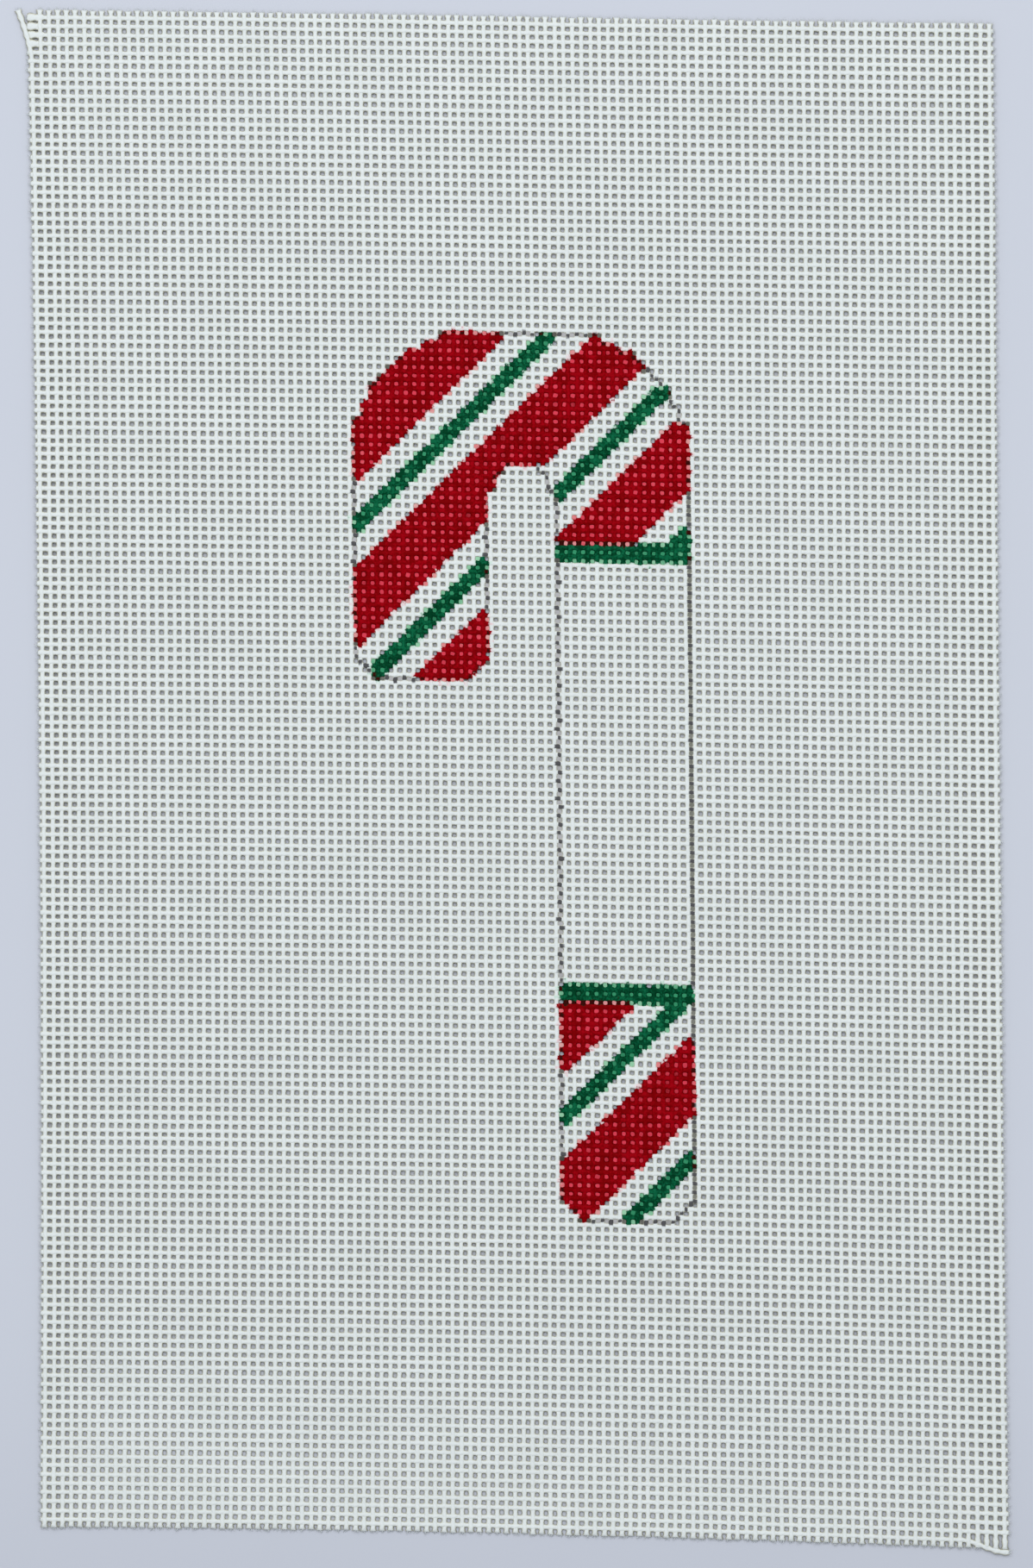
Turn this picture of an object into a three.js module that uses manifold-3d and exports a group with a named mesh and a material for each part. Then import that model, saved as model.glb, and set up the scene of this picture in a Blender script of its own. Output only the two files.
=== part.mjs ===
// A rectangle of painted needlepoint canvas, ready to be stitched, lying flat with its painted side up.
// Millimetres, +Z up. X runs across the canvas, and +Y runs along it towards the bend of the painted cane.
// The cane is painted stitch by stitch, so its shape and its stripes are a chart of thread crossings,
// and each field of paint is the outline of one patch of that chart. What is white is left unpainted.
import * as THREE from "three";
import { mergeVertices } from "three/addons/utils/BufferGeometryUtils.js";
import Module from "manifold-3d";

const wasm = await Module();
wasm.setup();

// The weave
const MESH_PER_INCH = 18;
const PITCH_X = 25.4 / MESH_PER_INCH; // from one warp thread to the next
const PITCH_Y = 0.986 * PITCH_X; // the weft is beaten a little closer
const WARP_THREADS = 109; // they run along Y
const WEFT_THREADS = 173; // they run along X
const MARGIN_THREADS = 36; // bare canvas, two inches of it, to the left of the cane and above it
const THREAD_WIDTH = 0.76;
const THREAD_CREST = 0.34; // the flat top of a thread that the size has stiffened
const THREAD_HEIGHT = 0.38;
const THICKNESS = 2 * THREAD_HEIGHT;
const WEB_THICKNESS = 0.12; // a closed web stands for the open holes between the threads
const SKEW = Math.tan(THREE.MathUtils.degToRad(0.8)); // the canvas is pulled off its grain

// The cut edges
const WARP_STUB = 0.85; // how far a warp runs on past the last weft, in pitches
const WEFT_STUB = 0.3; // the sides are cut closer
const STUB_UNEVEN = 0.1; // how unevenly they are cut, in pitches
const FLARE_CROSSINGS = 5; // the corner threads have come away over this many crossings
const FLARE_OUT = 1.15; // and stand off by this many pitches at the end

// The chart of the cane, in thread crossings, with row 0 at the top
const CANE_COLUMNS = 38;
const CANE_ROWS = 102;
const LIMB_COLUMNS = 15; // the hook's leg and the shaft are equally wide
const HOOK_ROWS = 40;
const SHOULDER_RADIUS = 14;
const END_RADIUS = 4;
const ARCH_TOP_ROW = 15;
const ARCH_RISE = 5;
const PANEL_TOP_ROW = 26; // the blank panel, with a green band above and below it
const PANEL_ROWS = 49;
const BAND_ROWS = 2;

// The stripes run at 45 degrees, and one repeat is red, white, green, white
const RED_WIDTH = 9;
const WHITE_WIDTH = 4;
const GREEN_WIDTH = 2;
const REPEAT = RED_WIDTH + GREEN_WIDTH + 2 * WHITE_WIDTH;
const HOOK_FIRST_RED = 8; // column plus row where a red stripe starts, above the panel
const FOOT_FIRST_RED = 99; // and below it

// The paint and the inked line
const PAINT_THICKNESS = 0.1;
const FIELD_GAP = 0.05; // each field of paint stops this far short of its chart cells
const INK_WIDTH = 0.4;

const GAP_COLUMNS = CANE_COLUMNS - 2 * LIMB_COLUMNS;
const SHAFT_COLUMN = LIMB_COLUMNS + GAP_COLUMNS;
const FOOT_ROW = PANEL_TOP_ROW + PANEL_ROWS;

const MATERIALS = {
  canvas: new THREE.MeshStandardMaterial({ color: 0xe2e8e8, roughness: 0.85, metalness: 0 }),
  red: new THREE.MeshStandardMaterial({ color: 0x9c0a1a, roughness: 0.55, metalness: 0 }),
  green: new THREE.MeshStandardMaterial({ color: 0x07512f, roughness: 0.55, metalness: 0 }),
  ink: new THREE.MeshStandardMaterial({ color: 0x35393c, roughness: 0.7, metalness: 0 }),
};

// Thread number from the left or the top to its place across the canvas
const warpX = (thread) => (thread - (WARP_THREADS - 1) / 2) * PITCH_X;
const weftY = (thread) => ((WEFT_THREADS - 1) / 2 - thread) * PITCH_Y;

// How far a cut end sticks out: uneven, and the same on every run
function stub(thread, side, length, pitch) {
  const wobble = Math.sin(thread * 2.4 + side * 1.7) * Math.cos(thread * 0.9);
  return (length + STUB_UNEVEN * wobble) * pitch;
}

function toSolid(geometry) {
  const bare = geometry.index ? geometry.toNonIndexed() : geometry.clone();
  bare.deleteAttribute("normal");
  bare.deleteAttribute("uv");
  const merged = mergeVertices(bare, 1e-4);
  return new wasm.Manifold(
    new wasm.Mesh({
      numProp: 3,
      vertProperties: merged.attributes.position.array,
      triVerts: new Uint32Array(merged.index.array),
    }),
  );
}

function toGeometry(solid) {
  const mesh = solid.getMesh();
  const geometry = new THREE.BufferGeometry();
  geometry.setAttribute("position", new THREE.BufferAttribute(mesh.vertProperties, 3));
  geometry.setIndex(new THREE.BufferAttribute(mesh.triVerts, 1));
  const faceted = geometry.toNonIndexed();
  faceted.computeVertexNormals();
  return faceted;
}

// A thread with a flat crest, from start to end on the XY plane; up is 1 for a crest that faces up
function thread(start, end, up) {
  const [half, crest] = [THREAD_WIDTH / 2, THREAD_CREST / 2];
  const sunk = WEB_THICKNESS / 4; // its base lies inside the web
  const reach = THREAD_HEIGHT + sunk;
  const section = new THREE.Shape([
    new THREE.Vector2(-half, 0),
    new THREE.Vector2(half, 0),
    new THREE.Vector2(crest, reach),
    new THREE.Vector2(-crest, reach),
  ]);
  const along = new THREE.Vector3().subVectors(end, start);
  const geometry = new THREE.ExtrudeGeometry(section, { depth: along.length(), bevelEnabled: false });
  const lengthwise = along.normalize();
  const upward = new THREE.Vector3(0, 0, up);
  const sideways = new THREE.Vector3().crossVectors(upward, lengthwise);
  geometry.applyMatrix4(new THREE.Matrix4().makeBasis(sideways, upward, lengthwise));
  return toSolid(geometry.translate(start.x, start.y, THICKNESS / 2 - up * sunk));
}

const at = (x, y) => new THREE.Vector3(x, y, 0);

function warpThreads() {
  const top = weftY(0);
  const bottom = weftY(WEFT_THREADS - 1);
  const made = [];
  for (let n = 0; n < WARP_THREADS; n++) {
    const x = warpX(n);
    const start = at(x, bottom - stub(n, 0, WARP_STUB, PITCH_Y));
    if (n > 0) {
      made.push(thread(start, at(x, top + stub(n, 1, WARP_STUB, PITCH_Y)), 1));
    } else {
      const knee = at(x, weftY(FLARE_CROSSINGS));
      const tip = at(x - FLARE_OUT * PITCH_X, top + WARP_STUB * PITCH_Y);
      made.push(thread(start, knee, 1), thread(at(x, weftY(FLARE_CROSSINGS + 1)), tip, 1));
    }
  }
  return made;
}

function weftThreads() {
  const left = warpX(0);
  const right = warpX(WARP_THREADS - 1);
  const made = [];
  for (let n = 0; n < WEFT_THREADS; n++) {
    const y = weftY(n);
    const start = at(left - stub(n, 2, WEFT_STUB, PITCH_X), y);
    if (n < WEFT_THREADS - 1) {
      made.push(thread(start, at(right + stub(n, 3, WEFT_STUB, PITCH_X), y), -1));
    } else {
      const knee = WARP_THREADS - 1 - FLARE_CROSSINGS;
      const tip = at(right + WEFT_STUB * PITCH_X, y - FLARE_OUT * PITCH_Y);
      made.push(thread(start, at(warpX(knee), y), -1), thread(at(warpX(knee - 1), y), tip, -1));
    }
  }
  return made;
}

function canvasGeometry() {
  const web = new THREE.BoxGeometry(
    (WARP_THREADS - 1) * PITCH_X + THREAD_WIDTH,
    (WEFT_THREADS - 1) * PITCH_Y + THREAD_WIDTH,
    WEB_THICKNESS,
  ).translate(0, 0, THICKNESS / 2);
  const solids = [toSolid(web), ...warpThreads(), ...weftThreads()];
  return toGeometry(wasm.Manifold.union(solids));
}

// Whether a point of the chart lies past the rounded corner whose arc starts at (x, y) and has these radii
function pastCorner(x, y, centreX, centreY, radiusX, radiusY, sideX, sideY) {
  const dx = ((x - centreX) * sideX) / radiusX;
  const dy = ((y - centreY) * sideY) / radiusY;
  return dx > 0 && dy > 0 && dx * dx + dy * dy > 1;
}

// Whether a crossing belongs to the cane
function inCane(column, row) {
  const [x, y] = [column + 0.5, row + 0.5];
  if (x < 0 || x > CANE_COLUMNS || y < 0 || y > CANE_ROWS) return false;
  const [shoulder, end] = [SHOULDER_RADIUS, END_RADIUS];
  const rightShoulder = CANE_COLUMNS - shoulder;
  if (pastCorner(x, y, shoulder, shoulder, shoulder, shoulder, -1, -1)) return false;
  if (pastCorner(x, y, rightShoulder, shoulder, shoulder, shoulder, 1, -1)) return false;
  const onShaft = x > SHAFT_COLUMN;
  const foot = onShaft ? CANE_ROWS : HOOK_ROWS;
  const firstColumn = onShaft ? SHAFT_COLUMN : 0;
  const lastColumn = firstColumn + LIMB_COLUMNS;
  const inGap = x > LIMB_COLUMNS && x < SHAFT_COLUMN;
  if (inGap) {
    const half = GAP_COLUMNS / 2;
    const dx = (x - LIMB_COLUMNS - half) / half;
    const dy = (ARCH_TOP_ROW + ARCH_RISE - y) / ARCH_RISE;
    return dy > 0 && dx * dx + dy * dy > 1;
  }
  if (y > foot) return false;
  if (pastCorner(x, y, firstColumn + end, foot - end, end, end, -1, 1)) return false;
  return !pastCorner(x, y, lastColumn - end, foot - end, end, end, 1, 1);
}

// The field that a crossing of the cane belongs to, where bare is canvas that shows as white
function fieldOf(column, row) {
  if (column >= SHAFT_COLUMN) {
    if (row >= PANEL_TOP_ROW && row < FOOT_ROW) return "bare";
    if (row >= PANEL_TOP_ROW - BAND_ROWS && row < PANEL_TOP_ROW) return "upper_band";
    if (row >= FOOT_ROW && row < FOOT_ROW + BAND_ROWS) return "lower_band";
  }
  const first = row >= FOOT_ROW ? FOOT_FIRST_RED : HOOK_FIRST_RED;
  const place = (((column + row - first) % REPEAT) + REPEAT) % REPEAT;
  if (place < RED_WIDTH) return "red";
  const fromRed = place - RED_WIDTH;
  return fromRed >= WHITE_WIDTH && fromRed < WHITE_WIDTH + GREEN_WIDTH ? "green" : "bare";
}

// The chart split into patches of one field, each a list of [column, row]
function patches() {
  const key = (column, row) => `${column},${row}`;
  const left = new Map();
  for (let row = 0; row < CANE_ROWS; row++) {
    for (let column = 0; column < CANE_COLUMNS; column++) {
      if (inCane(column, row)) left.set(key(column, row), [column, row, fieldOf(column, row)]);
    }
  }
  const found = [];
  for (const [startKey, start] of left) {
    const field = start[2];
    const cells = [];
    const queue = [start];
    left.delete(startKey);
    while (queue.length) {
      const [column, row] = queue.pop();
      cells.push([column, row]);
      for (const [dc, dr] of [[1, 0], [-1, 0], [0, 1], [0, -1]]) {
        const next = left.get(key(column + dc, row + dr));
        if (next && next[2] === field) {
          left.delete(key(column + dc, row + dr));
          queue.push(next);
        }
      }
    }
    found.push({ field, cells });
  }
  return found;
}

// The outer corners of a patch, in order with the patch on the right, in columns and rows
function outlineOf(cells) {
  const edges = new Map();
  const put = (x0, y0, x1, y1) => {
    const back = `${x1},${y1}>${x0},${y0}`;
    if (!edges.delete(back)) edges.set(`${x0},${y0}>${x1},${y1}`, [x0, y0, x1, y1]);
  };
  for (const [x, y] of cells) {
    put(x, y, x + 1, y);
    put(x + 1, y, x + 1, y + 1);
    put(x + 1, y + 1, x, y + 1);
    put(x, y + 1, x, y);
  }
  const fromCorner = new Map([...edges.values()].map((e) => [`${e[0]},${e[1]}`, e]));
  const first = edges.values().next().value;
  const corners = [];
  let edge = first;
  do {
    const next = fromCorner.get(`${edge[2]},${edge[3]}`);
    const turns = (edge[2] - edge[0]) * (next[3] - next[1]) !== (edge[3] - edge[1]) * (next[2] - next[0]);
    if (turns) corners.push([edge[2], edge[3]]);
    edge = next;
  } while (edge !== first);
  return corners;
}

// The same corners in millimetres, with every side moved outwards by a distance
function placed(corners, outwards) {
  return corners.map(([x, y], n) => {
    const [x0, y0] = corners.at(n - 1);
    const [x1, y1] = corners[(n + 1) % corners.length];
    const normalX = Math.sign(y - y0) + Math.sign(y1 - y);
    const normalY = -Math.sign(x - x0) - Math.sign(x1 - x);
    const thread = MARGIN_THREADS - 0.5;
    return new THREE.Vector2(
      warpX(thread + x) + normalX * outwards,
      weftY(thread + y) - normalY * outwards,
    );
  });
}

function film(outer, holes) {
  const shape = new THREE.Shape(outer);
  shape.holes = holes.map((points) => new THREE.Path(points.reverse())); // it turns the other way
  return new THREE.ExtrudeGeometry(shape, { depth: PAINT_THICKNESS, bevelEnabled: false });
}

const cane = new THREE.Group();

function addPiece(name, geometry, material, height) {
  const mesh = new THREE.Mesh(geometry, material);
  mesh.name = name;
  mesh.position.z = height;
  cane.add(mesh);
}

function addPaint() {
  const bands = { upper_band: "green_band_upper", lower_band: "green_band_lower" };
  const count = { red: 0, green: 0 };
  for (const { field, cells } of patches()) {
    if (field === "bare") continue;
    const name = bands[field] ?? `${field}_stripe_${++count[field]}`;
    const paint = film(placed(outlineOf(cells), -FIELD_GAP), []);
    addPiece(name, paint, bands[field] ? MATERIALS.green : MATERIALS[field], THICKNESS);
  }
}

function addInk() {
  const all = patches().flatMap((patch) => patch.cells);
  const corners = outlineOf(all);
  addPiece("ink_outline", film(placed(corners, INK_WIDTH), [placed(corners, 0)]), MATERIALS.ink, THICKNESS);
}

addPiece("canvas", canvasGeometry(), MATERIALS.canvas, 0);
addPaint();
addInk();

// The whole sheet leans off its grain alike, and its middle is the origin
const lean = new THREE.Matrix4().makeShear(-SKEW, 0, -SKEW, 0, 0, 0);
cane.children.forEach((mesh) => mesh.geometry.applyMatrix4(lean));
const middle = new THREE.Box3().setFromObject(cane, true).getCenter(new THREE.Vector3());
cane.position.set(-middle.x, -middle.y, 0);

export default cane;
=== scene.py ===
"""A piece of hand-painted needlepoint canvas, not yet stitched, lying flat on a pale table.

Every thread is a mesh: the warp runs along Y, the weft along X, and they pass over and under each other.
The cane is painted on them crossing by crossing, so its colours come from a chart, as in the part's source.
Sizes are in metres. A column is a warp thread and a row is a weft thread, counted from the top left.
"""
import math

import bpy
import numpy as np
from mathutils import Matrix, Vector


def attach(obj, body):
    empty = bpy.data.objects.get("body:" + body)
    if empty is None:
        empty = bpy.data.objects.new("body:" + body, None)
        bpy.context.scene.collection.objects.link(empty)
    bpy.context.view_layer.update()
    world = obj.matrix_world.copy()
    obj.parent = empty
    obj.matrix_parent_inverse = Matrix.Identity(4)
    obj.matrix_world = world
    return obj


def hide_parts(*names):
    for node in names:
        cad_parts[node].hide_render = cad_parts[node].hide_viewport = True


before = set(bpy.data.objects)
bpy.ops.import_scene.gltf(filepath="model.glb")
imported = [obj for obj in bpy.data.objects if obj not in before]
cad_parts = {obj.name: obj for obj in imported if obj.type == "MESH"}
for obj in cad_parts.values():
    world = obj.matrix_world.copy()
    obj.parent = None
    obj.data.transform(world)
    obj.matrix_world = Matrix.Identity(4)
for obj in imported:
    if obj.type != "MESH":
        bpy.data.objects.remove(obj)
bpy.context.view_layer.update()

MM = 0.001
RANDOM = np.random.default_rng(18)

# The weave, as in the part's source
MESH_PER_INCH = 18
PITCH_X = 25.4 * MM / MESH_PER_INCH
PITCH_Y = 0.986 * PITCH_X
WARPS = 109
WEFTS = 173
MIDDLE_COLUMN = (WARPS - 1) / 2
MIDDLE_ROW = (WEFTS - 1) / 2
SKEW = math.tan(math.radians(0.8))
WEAVE_MIDDLE = (0.753 * MM, 0.358 * MM)  # the loose corner threads put it off the frame's origin

# The threads
THREAD_WIDTH = 0.9 * MM
THREAD_HEIGHT = 0.44 * MM
WAVE = 0.05 * MM  # how far a thread's centreline rises and falls as it passes over and under
CROWN_SPREAD = 1.18  # a thread is flatter and wider where it crosses another
CROWN_HEIGHT = 0.90
MID_HEIGHT = WAVE + THREAD_HEIGHT * CROWN_HEIGHT / 2
RIPPLE = 0.24 * MM  # the stiff sheet stands off the table by up to this much
EDGE_LIFT = 0.15 * MM  # and its two long sides curl up by this much
WARP_STUB = 0.85  # how far a warp runs on past the last weft, in pitches
WEFT_STUB = 0.48  # the sides are cut closer
STUB_UNEVEN = 0.08  # as a share of the stub
END_SPLAY = 1.25  # a cut end has opened to this many times its width
PAINT_SWELL = 0.07  # dried paint makes a thread wider by this share
FIBRES = 6  # loose fibres at each cut end
FIBRE_LENGTH = 0.6 * MM
FIBRE_THICKNESS = 0.09 * MM
LOOSE_CROSSINGS = 5  # two corner threads have come away over this many crossings
LOOSE_REACH = 1.15  # and stand off by this many pitches at the end
SIDES = 6
TIP_RING = 0.55  # where the ring before a thread's end is, as a share of the stub
TIP_HEIGHT = 0.7
TABLE_CLEARANCE = 0.002 * MM  # nothing goes lower than this
THREAD_WANDER = 0.018  # how far a whole thread strays sideways, and how far its length does, in pitches
LENGTH_WANDER = 0.03
EDGE_HOLES_FILLED = 0.95  # share of the holes along a straight edge of the paint that it has run across
CORNER_HOLES_FILLED = 0.5  # and of those beside a slanting edge
CURVE_HOLES_INKED = 0.6  # share of the holes beside a red curve that the outline's ink has darkened
UNDERSIDE_HOLDS = 0.28  # how much of the paint reaches the lower side of a thread
RED_AT_EDGE = 0.58  # how far the paint covers a thread half way between a painted and a bare crossing
GREEN_AT_EDGE = 0.64
RUN_MIDDLE = 0.19  # the paint that has run onto a bare crossing beside it
RUN_SPREAD = 0.14
RUN_MOST = 0.36
EDGE_TONE = 0.74  # tones of the dried films, from 0 for the thickest to 1 for the thinnest
CORNER_TONE = 0.84
INNER_TONE = 0.42
INK_TONE = 0.95
CURVE_INK_TONE = 0.25
RIGHT_LINE_TONE_DROP = 0.5
FILM_HALF = 0.30  # half the width of a film, in pitches
FILM_HALF_HEIGHT = 0.02 * MM
FILM_UNEVEN = 0.05 * MM

# The chart of the cane, as in the part's source
MARGIN = 36  # bare threads to the left of the cane and above it
CANE_COLUMNS = 38
CANE_ROWS = 102
LIMB_COLUMNS = 15
HOOK_ROWS = 40
SHOULDER_RADIUS = 14
END_RADIUS = 4
ARCH_TOP_ROW = 15
ARCH_RISE = 5
PANEL_TOP_ROW = 26
PANEL_ROWS = 49
BAND_ROWS = 2
RED_WIDTH = 9
WHITE_WIDTH = 4
GREEN_WIDTH = 2
REPEAT = RED_WIDTH + GREEN_WIDTH + 2 * WHITE_WIDTH
HOOK_FIRST_RED = 8
FOOT_FIRST_RED = 99
GAP_COLUMNS = CANE_COLUMNS - 2 * LIMB_COLUMNS
SHAFT_COLUMN = LIMB_COLUMNS + GAP_COLUMNS
FOOT_ROW = PANEL_TOP_ROW + PANEL_ROWS


# Where the weave lies

def near(value, middle, width):
    """A smooth bump of height 1."""
    return np.exp(-(((value - middle) / width) ** 2))


def pulled(column, row):
    """How far handling has pulled a point of the weave out of true, in metres right and down."""
    u = (column - MIDDLE_COLUMN) / MIDDLE_COLUMN
    v = (row - MIDDLE_ROW) / MIDDLE_ROW
    leftness, rightness = (1 - u) / 2, (1 + u) / 2
    lowest = np.clip((v - 0.35) / 0.65, 0, 1.1)
    corner = rightness**2 * lowest**2
    bowed = 0.16 * MM * near(u, -0.5, 0.45) * near(v, -0.2, 0.6) + 0.09 * MM * near(v, -0.75, 0.25)
    right = 0.87 * MM * leftness * (1 / 3 - v**2) + bowed + 0.3 * MM * corner
    sides = np.where(u < 0, 0.42, 0.20 + 0.45 * v) * MM * u**2 - 0.14 * MM
    packed = 0.19 * near(v, -0.65, 0.4) - 0.42 * near(v, 0.35, 0.4)
    slack = (0.13 * u - 0.10) * near(v, 0.62, 0.25) + 0.65 * near(v, 1.04, 0.15)
    down = sides + (packed + slack) * MM + 0.45 * MM * corner
    return right, down


def place(column, row):
    """Where a point of the weave lies, in metres in the frame."""
    right, down = pulled(column, row)
    x = (column - MIDDLE_COLUMN) * PITCH_X + right
    y = (MIDDLE_ROW - row) * PITCH_Y - down
    return x - SKEW * y + WEAVE_MIDDLE[0], y - SKEW * x + WEAVE_MIDDLE[1]


def lift(column, row):
    """The stiff sheet isn't quite flat. It is lowest at its lower edge, and its long sides curl up."""
    u = (column - MIDDLE_COLUMN) / MIDDLE_COLUMN
    v = (row - MIDDLE_ROW) / MIDDLE_ROW
    swell = 0.82 - 0.12 * np.sin(2.2 * u + 1.3 * v + 1.2) * np.cos(1.9 * v - 0.5) - 0.08 * np.cos(4.3 * v + u)
    swell = swell - (0.85 - 0.5 * u) * near(v, 1.06, 0.24) - 0.22 * near(v, -1, 0.35)
    curl = near(np.abs(u), 1.0, 0.07) * (1 - 0.6 * near(v, -1, 0.1))
    return RIPPLE * np.clip(swell, 0, 1) + EDGE_LIFT * curl


def smooth(share):
    """Eases from 0 to 1."""
    return share * share * (3 - 2 * share)


def loosen(places, is_warp):
    """The first warp has come away at the top left, and the last weft at the bottom right.

    Gives how far each ring of each thread moves sideways, in pitches: outwards for both.
    """
    moved = np.zeros(places.shape)
    if is_warp:
        free = np.clip((LOOSE_CROSSINGS - places[0]) / LOOSE_CROSSINGS, 0, 1.2)
        moved[0] = -LOOSE_REACH * free**1.5
    else:
        free = np.clip((places[-1] - (WARPS - 1 - LOOSE_CROSSINGS)) / LOOSE_CROSSINGS, 0, 1.2)
        moved[-1] = LOOSE_REACH * smooth(np.minimum(free, 1))
    return moved


def slow_noise(rows, columns, every):
    """Smooth noise from -1 to 1 along each of several threads, with a new value every so many places."""
    knots = RANDOM.uniform(-1, 1, (rows, int(columns / every) + 3))
    at = np.arange(columns) / every
    low = at.astype(int)
    part = smooth(at - low)
    return knots[:, low] * (1 - part) + knots[:, low + 1] * part


# The chart

def past_corner(x, y, centre, radii, sides):
    """Whether a point is outside a rounded corner. sides says which way the corner faces."""
    dx = (x - centre[0]) * sides[0] / radii[0]
    dy = (y - centre[1]) * sides[1] / radii[1]
    return (dx > 0) & (dy > 0) & (dx * dx + dy * dy > 1)


def limb(x, y, first, foot):
    """The straight part of a limb of the cane, with its two rounded lower corners."""
    last = first + LIMB_COLUMNS
    radii = (END_RADIUS, END_RADIUS)
    inside = (x > first) & (x < last) & (y < foot)
    inside &= ~past_corner(x, y, (first + END_RADIUS, foot - END_RADIUS), radii, (-1, 1))
    return inside & ~past_corner(x, y, (last - END_RADIUS, foot - END_RADIUS), radii, (1, 1))


def draw_chart():
    """Which crossings of the whole canvas are red, green or inside the cane."""
    columns, rows = np.meshgrid(np.arange(WARPS), np.arange(WEFTS), indexing="ij")
    k, j = columns - MARGIN, rows - MARGIN
    x, y = k + 0.5, j + 0.5
    middle = LIMB_COLUMNS + GAP_COLUMNS / 2
    inside = limb(x, y, 0, HOOK_ROWS) | limb(x, y, SHAFT_COLUMN, CANE_ROWS)
    in_gap = (x > LIMB_COLUMNS) & (x < SHAFT_COLUMN) & (y < ARCH_TOP_ROW + ARCH_RISE)
    across = (x - middle) / (GAP_COLUMNS / 2)
    inside |= in_gap & (across**2 + ((ARCH_TOP_ROW + ARCH_RISE - y) / ARCH_RISE) ** 2 > 1)
    inside &= (x > 0) & (x < CANE_COLUMNS) & (y > 0) & (y < CANE_ROWS)
    shoulder, radii = SHOULDER_RADIUS, (SHOULDER_RADIUS, SHOULDER_RADIUS)
    inside &= ~past_corner(x, y, (shoulder, shoulder), radii, (-1, -1))
    inside &= ~past_corner(x, y, (CANE_COLUMNS - shoulder, shoulder), radii, (1, -1))
    on_shaft = k >= SHAFT_COLUMN
    panel = on_shaft & (j >= PANEL_TOP_ROW) & (j < FOOT_ROW)
    bands = on_shaft & (((j >= PANEL_TOP_ROW - BAND_ROWS) & (j < PANEL_TOP_ROW))
                        | ((j >= FOOT_ROW) & (j < FOOT_ROW + BAND_ROWS)))
    first_red = np.where(j >= FOOT_ROW, FOOT_FIRST_RED, HOOK_FIRST_RED)
    step = (k + j - first_red) % REPEAT
    stripes = inside & ~panel & ~bands
    red = stripes & (step < RED_WIDTH)
    green_from = RED_WIDTH + WHITE_WIDTH
    green = stripes & (step >= green_from) & (step < green_from + GREEN_WIDTH)
    return red, green | (inside & bands), inside


RED, GREEN, INSIDE = draw_chart()


def outline_marks():
    """Where the inked line runs, and how strongly: between two warps in a row, and two wefts in a column.

    The paint covers it in part beside red, and more of it beside green.
    """
    between_warps = INSIDE[:-1, :] != INSIDE[1:, :]
    between_wefts = INSIDE[:, :-1] != INSIDE[:, 1:]
    by_red = (RED[:-1, :] | RED[1:, :], RED[:, :-1] | RED[:, 1:])
    by_green = (GREEN[:-1, :] | GREEN[1:, :], GREEN[:, :-1] | GREEN[:, 1:])
    marks = []
    for line, red, green in zip((between_warps, between_wefts), by_red, by_green):
        chance = RANDOM.uniform(size=line.shape)
        covered = (red & (chance > 0.5)) | (green & (chance > 0.4))
        marks.append((line & ~covered) * np.where(red | green, 0.85, 1.0))
    return marks


INK_V, INK_H = outline_marks()
RIGHT_LINE_INK = np.array((0.5, 0.9, 0.45))  # the rubbed line at the cane's right side, from left to right


# Meshes

def mesh_object(name, points, faces, rounded=True):
    """faces is a list of integer arrays, each with one face to a row."""
    mesh = bpy.data.meshes.new(name)
    mesh.vertices.add(len(points))
    mesh.vertices.foreach_set("co", np.asarray(points, np.float32).ravel())
    sizes = np.concatenate([np.full(len(f), f.shape[1]) for f in faces])
    corners = np.concatenate([f.ravel() for f in faces]).astype(np.int32)
    mesh.loops.add(len(corners))
    mesh.loops.foreach_set("vertex_index", corners)
    mesh.polygons.add(len(sizes))
    mesh.polygons.foreach_set("loop_start", (np.cumsum(sizes) - sizes).astype(np.int32))
    mesh.update(calc_edges=True)
    mesh.polygons.foreach_set("use_smooth", np.full(len(sizes), rounded))
    piece = bpy.data.objects.new(name, mesh)
    bpy.context.scene.collection.objects.link(piece)
    return piece


def give_uv(piece, uv):
    """A map named OFBake, with one place for each corner of each face."""
    layer = piece.data.uv_layers.new(name="OFBake")
    layer.uv.foreach_set("vector", np.asarray(uv, np.float32).ravel())


def give_coat(piece, coat):
    """Red paint, green paint and ink on each point, from 0 to 1, and how far down the thread it is, for the
    painted shade of its lower side.
    """
    layer = piece.data.attributes.new("coat", "FLOAT_COLOR", "POINT")
    layer.data.foreach_set("color", np.asarray(coat, np.float32).ravel())


def ring_places(crossings, stubs):
    """Places along each thread, in pitches: both ends, every crossing, and half way between crossings."""
    count = len(stubs)
    inner = np.tile(np.arange(0, crossings - 0.75, 0.5), (count, 1))
    before = np.stack([-stubs[:, 0], -TIP_RING * stubs[:, 0]], 1)
    after = crossings - 1 + np.stack([TIP_RING * stubs[:, 1], stubs[:, 1]], 1)
    return np.concatenate([before, inner, after], 1)


def sides_of(rings):
    """The way along and the way across, at every ring of every thread."""
    along = np.empty_like(rings)
    along[:, 1:-1] = rings[:, 2:] - rings[:, :-2]
    along[:, 0] = rings[:, 1] - rings[:, 0]
    along[:, -1] = rings[:, -1] - rings[:, -2]
    along /= np.linalg.norm(along, axis=2, keepdims=True)
    across = np.cross(np.array([0.0, 0.0, 1.0]), along)
    across /= np.linalg.norm(across, axis=2, keepdims=True)
    return across, np.cross(along, across)


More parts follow.
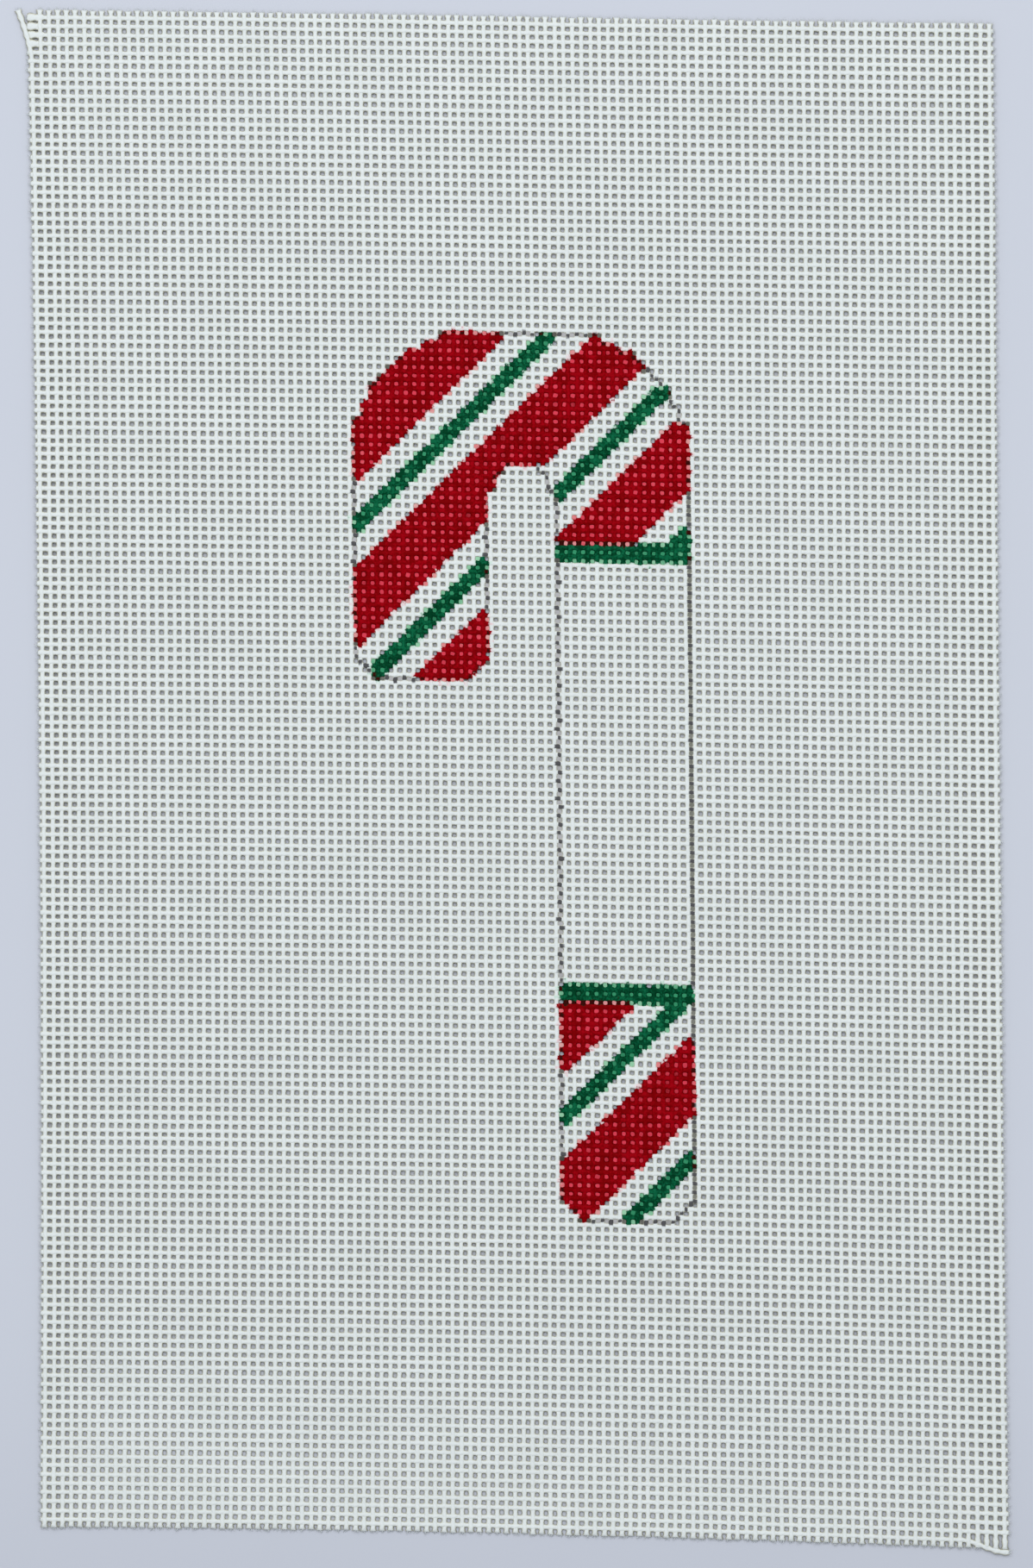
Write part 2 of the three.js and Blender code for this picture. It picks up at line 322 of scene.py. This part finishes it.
def thread_faces(threads, rings):
    """Quads round every thread, then a cap at each of its ends."""
    at = np.arange(threads * rings * SIDES).reshape(threads, rings, SIDES)
    here, onward = at[:, :-1], at[:, 1:]
    quads = np.stack([here, np.roll(here, -1, 2), np.roll(onward, -1, 2), onward], 3)
    starts, ends = at[:, 0, ::-1], at[:, -1]
    return [quads.reshape(-1, 4), starts.reshape(-1, SIDES), ends.reshape(-1, SIDES)]


def thread_uv(threads, rings):
    """Each thread is a row of the map: U runs along it and V round it. The caps sit beyond its ends."""
    inset = 0.01
    u = inset + (1 - 2 * inset) * np.arange(rings) / (rings - 1)
    thread = np.arange(threads)[:, None, None]
    side = np.arange(SIDES)[None, None, :]
    low = (thread + side / SIDES) / threads + 0 * u[None, :-1, None]
    high = (thread + (side + 1) / SIDES) / threads + 0 * u[None, :-1, None]
    start = u[None, :-1, None] + 0 * low
    end = u[None, 1:, None] + 0 * low
    quads = np.stack([start, low, start, high, end, high, end, low], 3).reshape(-1, 2)
    angle = 2 * math.pi * np.arange(SIDES) / SIDES
    caps = []
    for middle, turn in ((inset / 2, -1), (1 - inset / 2, 1)):
        cap_u = middle + 0.4 * inset * np.cos(turn * angle)[None, :] + 0 * thread[:, :, 0]
        cap_v = (thread[:, :, 0] + 0.5 + 0.4 * np.sin(turn * angle)[None, :]) / threads
        caps.append(np.stack([cap_u, cap_v], 2).reshape(-1, 2))
    return np.concatenate([quads, *caps])


def stub_ends(count, is_warp):
    """How far each thread runs on at its two ends, in pitches."""
    length = WARP_STUB if is_warp else WEFT_STUB
    return length * (1 + STUB_UNEVEN * RANDOM.uniform(-1, 1, (count, 2)))


def thread_section():
    """Points round a thread, as shares of half its width and height, and how much paint each holds."""
    angle = 2 * math.pi * np.arange(SIDES) / SIDES
    across, up = np.cos(angle), np.sin(angle) / math.sin(math.pi / 3)
    held = np.where(up < -0.5, UNDERSIDE_HOLDS, 1.0)
    return across, up, held


def build_threads(is_warp):
    """Every thread of one kind: the points of its rings, the coat on them, and the middles of its rings."""
    count, crossings = (WARPS, WEFTS) if is_warp else (WEFTS, WARPS)
    places = ring_places(crossings, stub_ends(count, is_warp))
    rings = places.shape[1]
    number = np.arange(count)[:, None] + 0 * places
    wander = THREAD_WANDER * RANDOM.normal(size=(count, 1)) + LENGTH_WANDER * slow_noise(count, rings, 14)
    wander += loosen(places, is_warp)
    column, row = (number + wander, places) if is_warp else (places, number + wander)
    x, y = place(column, row)
    swing = np.cos(math.pi * (number + places)) * (1 if is_warp else -1)
    z = MID_HEIGHT + WAVE * swing + lift(column, row)
    centres = np.stack([x, y, z], 2)
    across, up = sides_of(centres)
    crown = np.abs(swing)
    uneven = 1 + 0.05 * slow_noise(count, rings, 9) + 0.03 * RANDOM.normal(size=(count, rings))
    width = THREAD_WIDTH * (1 + (CROWN_SPREAD - 1) * (2 * crown - 1)) * uneven
    height = THREAD_HEIGHT * (1 + (CROWN_HEIGHT - 1) * (2 * crown - 1)) * np.sqrt(uneven)
    for end in (0, -1):
        width[:, end] *= END_SPLAY if is_warp else 1.0
        height[:, end] *= TIP_HEIGHT
    share_across, share_up, held = thread_section()
    share_down = np.clip(0.55 - share_up / 2, 0, 1)
    coat = coat_on_threads(is_warp, rings, swing, held, share_across, share_down)
    width *= 1 + PAINT_SWELL * np.minimum(coat[..., :2].max(2).sum(2), 1)
    if is_warp:
        width *= 1 + 0.06 * smooth(np.clip((places - 0.86 * WEFTS) / (0.1 * WEFTS), 0, 1))
    else:
        splayed = (places < 1.2) & (number < LOOSE_CROSSINGS - 1)
        width[splayed] *= 1.5
        height[splayed] *= 0.75
    points = (centres[:, :, None, :]
              + across[:, :, None, :] * (width[:, :, None] * share_across / 2)[..., None]
              + up[:, :, None, :] * (height[:, :, None] * share_up / 2)[..., None])
    points[..., 2] = np.maximum(points[..., 2], TABLE_CLEARANCE)
    return points, coat, centres


def along_threads(chart, is_warp, rings, at_edge):
    """A chart of crossings, as values at the rings of every thread. at_edge is the value between in and out.

    A little paint has also run onto some of the bare crossings beside it.
    """
    inside = chart if is_warp else chart.T
    beside = np.zeros(inside.shape, bool)
    for shift, axis in ((1, 0), (-1, 0), (1, 1), (-1, 1)):
        beside |= np.roll(inside, shift, axis)
    run = np.clip(RANDOM.normal(RUN_MIDDLE, RUN_SPREAD, inside.shape), 0, RUN_MOST)
    out = np.zeros((inside.shape[0], rings))
    out[:, 2:-2:2] = np.where(inside, 1.0, np.where(beside, run, 0.0))
    both = inside[:, :-1].astype(int) + inside[:, 1:]
    ragged = np.clip(at_edge + 0.09 * RANDOM.normal(size=both.shape), 0.3, 0.9)
    out[:, 3:-3:2] = np.where(both == 1, ragged, both / 2)
    return out


def coat_on_threads(is_warp, rings, swing, held, share_across, share_down):
    """Paint and ink at each point of each ring, as red, green, ink and how far down the thread it is, which
    sets the painted shade on the thread's lower side.
    """
    shape = swing.shape + (SIDES,)
    coat = np.zeros(shape + (4,))
    # The fourth channel, how far down the thread a point is, sets the painted shade of its lower side.
    coat[..., 3] = share_down
    for channel, chart, at_edge in ((0, RED, RED_AT_EDGE), (1, GREEN, GREEN_AT_EDGE)):
        coat[..., channel] = along_threads(chart, is_warp, rings, at_edge)[..., None] * held
    marks = INK_H if is_warp else INK_V.T
    ink = np.zeros(swing.shape)
    ink[:, 3:-3:2] = marks * RANDOM.uniform(0.84, 1.05, marks.shape)
    over = swing[:, 2:-2:2] > 0
    reach = marks * RANDOM.uniform(0.4, 0.7, marks.shape)
    ink[:, 2:-4:2] = reach * over[:, :-1]
    ink[:, 4:-2:2] = np.maximum(ink[:, 4:-2:2], reach * over[:, 1:])
    if not is_warp:
        rubbed = 2 * (MARGIN + CANE_COLUMNS) + 1
        ink[:, rubbed - 1:rubbed + 2] = RIGHT_LINE_INK * (ink[:, rubbed, None] > 0)
    top_and_sides = np.where(share_down < 0.3, 1.0, 0.6)
    coat[..., 2] = ink[..., None] * np.where(held < 1, 0.2, top_and_sides)
    add_flank_ink(coat, is_warp, swing, share_across)
    return coat


def add_flank_ink(coat, is_warp, swing, share_across):
    """The pen also marks the side of each thread that the line runs beside, where that thread is on top."""
    beside = INK_V if is_warp else INK_H.T  # between this thread and the next one over
    over = swing[:, 2:-2:2] > 0
    left_side, right_side = (share_across > 0.9), (share_across < -0.9)
    if is_warp:
        left_side, right_side = right_side, left_side
    for thread_shift, side in ((0, right_side), (1, left_side)):
        marked = np.zeros(over.shape, bool)
        if thread_shift == 0:
            marked[:-1] = beside > 0
        else:
            marked[1:] = beside > 0
        strength = (marked & over) * RANDOM.uniform(0, 0.8, over.shape)
        for index in np.nonzero(side)[0]:
            target = coat[:, 2:-2:2, index, 2]
            coat[:, 2:-2:2, index, 2] = np.maximum(target, strength)


# Materials

class Nodes:
    """A short way to write a material's nodes."""

    def __init__(self, name):
        self.material = bpy.data.materials.new(name)
        self.material.use_nodes = True
        self.tree = self.material.node_tree
        self.shader = self.tree.nodes["Principled BSDF"]

    def add(self, kind, inputs=None, **settings):
        node = self.tree.nodes.new(kind)
        for key, value in settings.items():
            setattr(node, key, value)
        for key, value in (inputs or {}).items():
            self.put(node.inputs[key], value)
        return node

    def put(self, socket, value):
        if isinstance(value, bpy.types.NodeSocket):
            self.tree.links.new(value, socket)
        else:
            socket.default_value = value

    def math(self, operation, *values):
        return self.add("ShaderNodeMath", dict(enumerate(values)), operation=operation).outputs[0]

    def mix(self, share, first, second):
        node = self.add("ShaderNodeMix", data_type="RGBA")
        self.put(node.inputs[0], share)
        self.put(node.inputs[6], first)
        self.put(node.inputs[7], second)
        return node.outputs[2]

    def step(self, value, low, high):
        return self.add(
            "ShaderNodeMapRange",
            {"Value": value, "From Min": low, "From Max": high},
            interpolation_type="SMOOTHSTEP",
        ).outputs[0]

    def noise(self, size, detail=2.0, offset=0.0):
        """Noise in the object's own space, whose features are about so many metres across."""
        spot = self.add("ShaderNodeTexCoord").outputs["Object"]
        moved = self.add("ShaderNodeVectorMath", {0: spot, 1: (offset, offset, 0)}, operation="ADD")
        node = self.add(
            "ShaderNodeTexNoise",
            {"Vector": moved.outputs[0], "Scale": 1 / size, "Detail": detail},
        )
        return node.outputs["Fac"]


THREAD_WHITE = (0.605, 0.648, 0.668, 1)
THREAD_GREY = (0.58, 0.623, 0.641, 1)
THREAD_UNDER_SHADE = (0.47, 0.41, 0.17, 1)  # painted shade and cream: the lower side is painted darker and warmer, which darkens the holes, beside the cotton's own cream
RED_PAINT = (0.155, 0.0001, 0.001, 1)
RED_THIN = (0.26, 0.0004, 0.004, 1)
RED_STAIN = (0.63, 0.44, 0.46, 1)
GREEN_PAINT = (0.0004, 0.035, 0.0128, 1)
GREEN_THIN = (0.003, 0.10, 0.042, 1)
GREEN_STAIN = (0.38, 0.56, 0.46, 1)
INK = (0.07, 0.07, 0.075, 1)
RED_FILMS = (RED_PAINT, (0.56, 0.04, 0.07, 1), (0.56, 0.32, 0.31, 1))  # from the thickest to the thinnest
GREEN_FILMS = (GREEN_PAINT, (0.028, 0.23, 0.11, 1), (0.25, 0.48, 0.32, 1))
INK_FILMS = ((0.05, 0.045, 0.04, 1), (0.16, 0.165, 0.145, 1), (0.35, 0.35, 0.365, 1))
BOTH_PAINTS = (0.03, 0.003, 0.002, 1)
STRANDS = 3  # plies in a thread
TWIST = 0.95 * MM  # length of one turn of the plies


def thread_material(name, threads, length):
    n = Nodes(name)
    cloudy = n.noise(9 * MM, 3)
    fine = n.noise(0.35 * MM, 2, 0.3)
    blotchy = n.noise(1.6 * MM, 2, 0.5)
    coat = n.add("ShaderNodeAttribute", attribute_name="coat")
    parts = n.add("ShaderNodeSeparateColor", {"Color": coat.outputs["Color"]}).outputs
    fresh = n.mix(n.step(cloudy, 0.3, 0.7), THREAD_GREY, THREAD_WHITE)
    # Painted shade: the lower side of each thread is painted darker and warmer, standing in for the shade
    # under it.
    bare = n.mix(coat.outputs["Alpha"], fresh, THREAD_UNDER_SHADE)
    ragged = n.math("MULTIPLY", n.math("SUBTRACT", n.noise(0.5 * MM, 2, 0.7), 0.5), 0.5)

    def edge(amount, low, high):
        return n.step(n.math("ADD", amount, ragged), low, high)

    thin = n.step(n.math("ADD", n.math("MULTIPLY", fine, 0.5), n.math("MULTIPLY", blotchy, 0.5)), 0.42, 0.62)
    red = n.mix(thin, RED_PAINT, RED_THIN)
    green = n.mix(thin, GREEN_PAINT, GREEN_THIN)
    is_red, is_green = edge(parts[0], 0.34, 0.46), edge(parts[1], 0.34, 0.46)
    is_ink = n.step(n.math("ADD", parts[2], n.math("MULTIPLY", ragged, 0.4)), 0.56, 0.74)
    colour = n.mix(n.math("MULTIPLY", edge(parts[0], 0.12, 0.45), 0.85), bare, RED_STAIN)
    colour = n.mix(n.math("MULTIPLY", edge(parts[1], 0.12, 0.45), 0.85), colour, GREEN_STAIN)
    colour = n.mix(is_red, colour, red)
    colour = n.mix(is_green, colour, green)
    colour = n.mix(n.math("MULTIPLY", is_red, is_green), colour, BOTH_PAINTS)
    colour = n.mix(is_ink, colour, n.mix(n.math("MAXIMUM", is_red, is_green), INK, BOTH_PAINTS))
    n.put(n.shader.inputs["Base Color"], colour)
    painted = n.math("MAXIMUM", is_red, is_green)
    rough = n.math("SUBTRACT", 0.82, n.math("MULTIPLY", painted, 0.30))
    n.put(n.shader.inputs["Roughness"], rough)
    n.shader.inputs["Specular IOR Level"].default_value = 0.01

    # Twisted plies, from the map's U along the thread and V round it
    uv = n.add("ShaderNodeUVMap", uv_map="OFBake").outputs[0]
    place_on = n.add("ShaderNodeSeparateXYZ", {0: uv}).outputs
    round_it = n.math("MULTIPLY", place_on[1], 2 * math.pi * STRANDS * threads)
    along_it = n.math("MULTIPLY", place_on[0], 2 * math.pi * length / TWIST)
    plies = n.math("ABSOLUTE", n.math("SINE", n.math("MULTIPLY", n.math("ADD", round_it, along_it), 0.5)))
    soft = n.math("SUBTRACT", 1.0, n.math("MULTIPLY", painted, 0.55))
    height = n.math("ADD", n.math("MULTIPLY", plies, soft), n.math("MULTIPLY", fine, 0.7))
    bump = n.add("ShaderNodeBump", {"Height": height, "Strength": 0.55, "Distance": 0.05 * MM})
    n.put(n.shader.inputs["Normal"], bump.outputs[0])
    return n.material


def film_material(name, films):
    """Dried paint that spans a hole: thin and pale in places, and dark where it has pooled."""
    n = Nodes(name)
    deep, middling, pale = films
    tone = n.add("ShaderNodeAttribute", attribute_name="tone").outputs["Fac"]
    uneven = n.math("MULTIPLY", n.math("SUBTRACT", n.noise(0.3 * MM, 2, 0.2), 0.5), 0.3)
    tone = n.math("ADD", tone, uneven)
    colour = n.mix(n.step(tone, 0.5, 1.0), n.mix(n.step(tone, 0.0, 0.5), deep, middling), pale)
    n.put(n.shader.inputs["Base Color"], colour)
    n.shader.inputs["Roughness"].default_value = 0.6
    n.shader.inputs["Specular IOR Level"].default_value = 0.05
    wrinkle = n.noise(0.3 * MM, 2, 0.9)
    bump = n.add("ShaderNodeBump", {"Height": wrinkle, "Strength": 0.4, "Distance": 0.04 * MM})
    n.put(n.shader.inputs["Normal"], bump.outputs[0])
    return n.material


# The woven canvas

def add_thread_pieces(is_warp, names, nodes):
    """One piece for each name, each with its share of the threads, side by side."""
    points, coat, centres = build_threads(is_warp)
    groups = np.array_split(np.arange(len(points)), len(names))
    across = (WEFTS - 1 + 2 * WARP_STUB) * PITCH_Y if is_warp else (WARPS - 1 + 2 * WEFT_STUB) * PITCH_X
    for name, group in zip(names, groups):
        threads, rings = len(group), points.shape[1]
        piece = mesh_object(name, points[group].reshape(-1, 3), thread_faces(threads, rings))
        give_uv(piece, thread_uv(threads, rings))
        give_coat(piece, coat[group].reshape(-1, 4))
        piece.data.materials.append(thread_material(name + "_thread", threads, across))
        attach(piece, "root")
        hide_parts(*nodes)
        fibres = add_fibres(name + "_ends", centres[group])


def fibre_material(name):
    n = Nodes(name)
    n.put(n.shader.inputs["Base Color"], n.mix(n.noise(0.6 * MM, 2), THREAD_GREY, THREAD_WHITE))
    n.shader.inputs["Roughness"].default_value = 0.85
    n.shader.inputs["Specular IOR Level"].default_value = 0.01
    return n.material


def add_fibres(name, centres):
    """The ply ends that stand out of each cut end of these threads: thin, bent, three-sided spikes."""
    ends = np.repeat(np.concatenate([centres[:, 0], centres[:, -1]]), FIBRES, 0)
    inner = np.repeat(np.concatenate([centres[:, 1], centres[:, -2]]), FIBRES, 0)
    count = len(ends)
    way = ends - inner
    way /= np.linalg.norm(way, axis=1, keepdims=True)
    aside = np.cross(np.array([0.0, 0.0, 1.0]), way)
    up = np.cross(way, aside)

    def scatter(low, high):
        return RANDOM.uniform(low, high, (count, 1))

    root = ends + aside * scatter(-0.42, 0.42) * THREAD_WIDTH + up * scatter(-0.2, 0.2) * THREAD_HEIGHT
    root -= way * 0.15 * MM
    long = FIBRE_LENGTH * scatter(0.35, 1)
    lean = way + aside * scatter(-0.85, 0.85) + up * scatter(-0.3, 0.2)
    bend = aside * scatter(-0.35, 0.35) + up * scatter(-0.25, 0.1)
    middle = root + (0.15 * MM + 0.5 * long) * lean
    tip = middle + 0.5 * long * (lean + bend)
    rings = []
    for centre, size in ((root, 1.0), (middle, 0.75)):
        for turn in range(3):
            angle = 2 * math.pi * turn / 3
            offset = aside * math.cos(angle) + up * math.sin(angle)
            rings.append(centre + offset * size * FIBRE_THICKNESS / 2)
    points = np.stack([*rings, tip], 1)
    points[..., 2] = np.maximum(points[..., 2], TABLE_CLEARANCE)
    first = 7 * np.arange(count)[:, None, None]
    quads = np.array([(0, 1, 4, 3), (1, 2, 5, 4), (2, 0, 3, 5)])
    triangles = np.array([(0, 2, 1), (3, 4, 6), (4, 5, 6), (5, 3, 6)])
    faces = [(quads + first).reshape(-1, 4), (triangles + first).reshape(-1, 3)]
    piece = mesh_object(name, points.reshape(-1, 3), faces)
    piece.data.materials.append(fibre_material(name + "_cotton"))
    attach(piece, "root")
    return piece


def corners_in(chart):
    """How many of the four crossings round each hole are in the chart."""
    painted = chart.astype(int)
    return painted[:-1, :-1] + painted[1:, :-1] + painted[:-1, 1:] + painted[1:, 1:]


def painted_holes(chart, other):
    """The holes that this paint spans, as columns and rows, and the tone that each dried to, from 0 to 1.

    Paint also runs across most of the holes along its straight edges, and across some beside its slanting
    edges. It is thinner and paler there.
    """
    here, there, inside = corners_in(chart), corners_in(other), corners_in(INSIDE)
    chance = RANDOM.uniform(size=here.shape)
    first = here + (chart is RED) * 0.5 > there
    on_edge = (here == 2) & first & (chance < EDGE_HOLES_FILLED)
    at_corner = (here == 1) & (there == 0) & (inside == 4) & (chance < CORNER_HOLES_FILLED)
    filled = (here >= 3) | on_edge | at_corner
    column, row = np.meshgrid(np.arange(WARPS - 1), np.arange(WEFTS - 1), indexing="ij")
    patchy = 0.08 * np.sin(0.19 * column + 0.7) * np.cos(0.13 * row - 0.4)
    slow = patchy + 0.07 * RANDOM.normal(size=here.shape)
    tone = np.where(on_edge, EDGE_TONE, np.where(at_corner, CORNER_TONE, INNER_TONE)) + slow
    return np.argwhere(filled), np.clip(tone[filled], 0, 1)


def inked_holes():
    """The unpainted holes along the outline that the pen's ink or the size has closed, and their tones.

    They are pale along the straight lines, greyer along the rubbed one, and dark beside the red curves.
    """
    inside = corners_in(INSIDE)
    painted = corners_in(RED) + corners_in(GREEN)
    chance = RANDOM.uniform(size=inside.shape)
    straight = (inside == 2) & (painted == 0)
    curved = (inside < 4) & (painted == 1) & (chance < CURVE_HOLES_INKED)
    tone = np.where(curved, CURVE_INK_TONE, INK_TONE) + 0.08 * RANDOM.normal(size=inside.shape)
    right_line = MARGIN + CANE_COLUMNS - 1
    greyer = tone[right_line] - RIGHT_LINE_TONE_DROP
    tone[right_line] = np.where(straight[right_line], greyer, tone[right_line])
    filled = straight | curved
    return np.argwhere(filled), np.clip(tone[filled], 0, 1)


def add_films(name, holes_and_tones, films, nodes):
    """Thin closed plates of dried paint, one across each hole, each of its own tone."""
    holes, tone = holes_and_tones
    holes = holes + 0.5
    count = len(holes)
    half = FILM_HALF + 0.02 * RANDOM.uniform(-1, 1, (count, 1))
    corner = np.array([(-1, -1), (1, -1), (1, 1), (-1, 1)])
    column = holes[:, :1] + half * corner[:, 0]
    row = holes[:, 1:] - half * corner[:, 1]
    x, y = place(column, row)
    base = MID_HEIGHT + lift(column, row) + FILM_UNEVEN * RANDOM.uniform(-1, 1, (count, 4))
    levels = [base - FILM_HALF_HEIGHT, base + FILM_HALF_HEIGHT]
    points = np.stack([np.stack([x, y, z], 2) for z in levels], 1).reshape(-1, 3)
    box = np.array([(3, 2, 1, 0), (4, 5, 6, 7), (0, 1, 5, 4), (1, 2, 6, 5), (2, 3, 7, 6), (3, 0, 4, 7)])
    faces = (box[None] + 8 * np.arange(count)[:, None, None]).reshape(-1, 4)
    piece = mesh_object(name, points, [faces], rounded=False)
    layer = piece.data.attributes.new("tone", "FLOAT", "POINT")
    layer.data.foreach_set("value", np.repeat(tone, 8).astype(np.float32))
    piece.data.materials.append(film_material(name + "_paint", films))
    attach(piece, "root")
    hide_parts(*nodes)


# The stage

TABLE_PALE = (0.465, 0.49, 0.555, 1)
# painted shade for the table towards its near edge
TABLE_SHADE = (0.38, 0.40, 0.46, 1)
TABLE_MOTTLE = (0.45, 0.475, 0.54, 1)


def add_floor():
    """The pale table, with painted shade that darkens it towards the near edge in place of the light falling
    off.
    """
    bpy.ops.mesh.primitive_plane_add(size=6, location=(0, 0, 0))
    floor = bpy.context.object
    floor.name = "table_top"
    n = Nodes("table_top_paint")
    spot = n.add("ShaderNodeSeparateXYZ", {0: n.add("ShaderNodeTexCoord").outputs["Object"]}).outputs
    # Painted shade: the table is painted darker towards the near edge, in place of the light falling off.
    painted_falloff = n.mix(n.step(n.math("MULTIPLY", spot[1], -1.0), 0.07, 0.19), TABLE_PALE, TABLE_SHADE)
    colour = n.mix(n.math("MULTIPLY", n.noise(0.03, 3), 0.3), painted_falloff, TABLE_MOTTLE)
    n.put(n.shader.inputs["Base Color"], colour)
    n.shader.inputs["Roughness"].default_value = 0.7
    n.shader.inputs["Specular IOR Level"].default_value = 0.1
    floor.data.materials.append(n.material)


def add_light(name, spot, target, size, power, colour):
    light = bpy.data.lights.new(name, "AREA")
    light.shape = "RECTANGLE"
    light.size, light.size_y = size
    light.energy = power
    light.color = colour
    lamp = bpy.data.objects.new(name, light)
    lamp.location = spot
    lamp.rotation_euler = (Vector(target) - Vector(spot)).to_track_quat("-Z", "Y").to_euler()
    bpy.context.scene.collection.objects.link(lamp)


def add_lights():
    add_light("window_light", (-0.12, 0.56, 1.13), (0, 0.08, 0), (1.4, 1.1), 14.6, (1.0, 1.0, 1.0))
    add_light("fill_light", (0.35, -0.45, 1.2), (0, 0, 0), (1.3, 1.0), 1.6, (0.98, 1.0, 1.0))
    world = bpy.data.worlds.new("studio")
    world.use_nodes = True
    world.node_tree.nodes["Background"].inputs["Color"].default_value = (0.95, 0.98, 1.0, 1)
    world.node_tree.nodes["Background"].inputs["Strength"].default_value = 0.61
    bpy.context.scene.world = world
    bpy.context.scene.view_settings.view_transform = "Standard"


# The photograph's framing, in its own pixels
PHOTO_SIZE = (1198, 1819)
PIXELS_PER_METRE = 7263
WEAVE_MIDDLE_PIXEL = (601.3, 897.4)
CAMERA_TURN = math.radians(0.27)
CAMERA_HEIGHT = 1.0
SENSOR = 36.0


def add_camera():
    data = bpy.data.cameras.new("camera")
    data.sensor_fit = "VERTICAL"
    data.sensor_height = SENSOR
    view_height = PHOTO_SIZE[1] / PIXELS_PER_METRE
    data.lens = SENSOR * (CAMERA_HEIGHT - MID_HEIGHT) / view_height
    data.clip_start, data.clip_end = 0.01, 10
    camera = bpy.data.objects.new("camera", data)
    right = (PHOTO_SIZE[0] / 2 - WEAVE_MIDDLE_PIXEL[0]) / PIXELS_PER_METRE
    up = (WEAVE_MIDDLE_PIXEL[1] - PHOTO_SIZE[1] / 2) / PIXELS_PER_METRE
    turned_x = right * math.cos(CAMERA_TURN) - up * math.sin(CAMERA_TURN)
    turned_y = right * math.sin(CAMERA_TURN) + up * math.cos(CAMERA_TURN)
    camera.location = (WEAVE_MIDDLE[0] + turned_x, WEAVE_MIDDLE[1] + turned_y, CAMERA_HEIGHT)
    camera.rotation_euler = (0, 0, CAMERA_TURN)
    bpy.context.scene.collection.objects.link(camera)
    bpy.context.scene.camera = camera


add_camera()
add_floor()
add_lights()
add_thread_pieces(True, ["warp_threads_left", "warp_threads_middle", "warp_threads_right"], ["canvas"])
add_thread_pieces(False, ["weft_threads_top", "weft_threads_middle", "weft_threads_bottom"], ["canvas"])
red_nodes = [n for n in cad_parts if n.startswith("red_")]
green_nodes = [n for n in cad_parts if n.startswith("green_")]
add_films("red_films", painted_holes(RED, GREEN), RED_FILMS, red_nodes)
add_films("green_films", painted_holes(GREEN, RED), GREEN_FILMS, green_nodes)
add_films("ink_films", inked_holes(), INK_FILMS, ["ink_outline"])
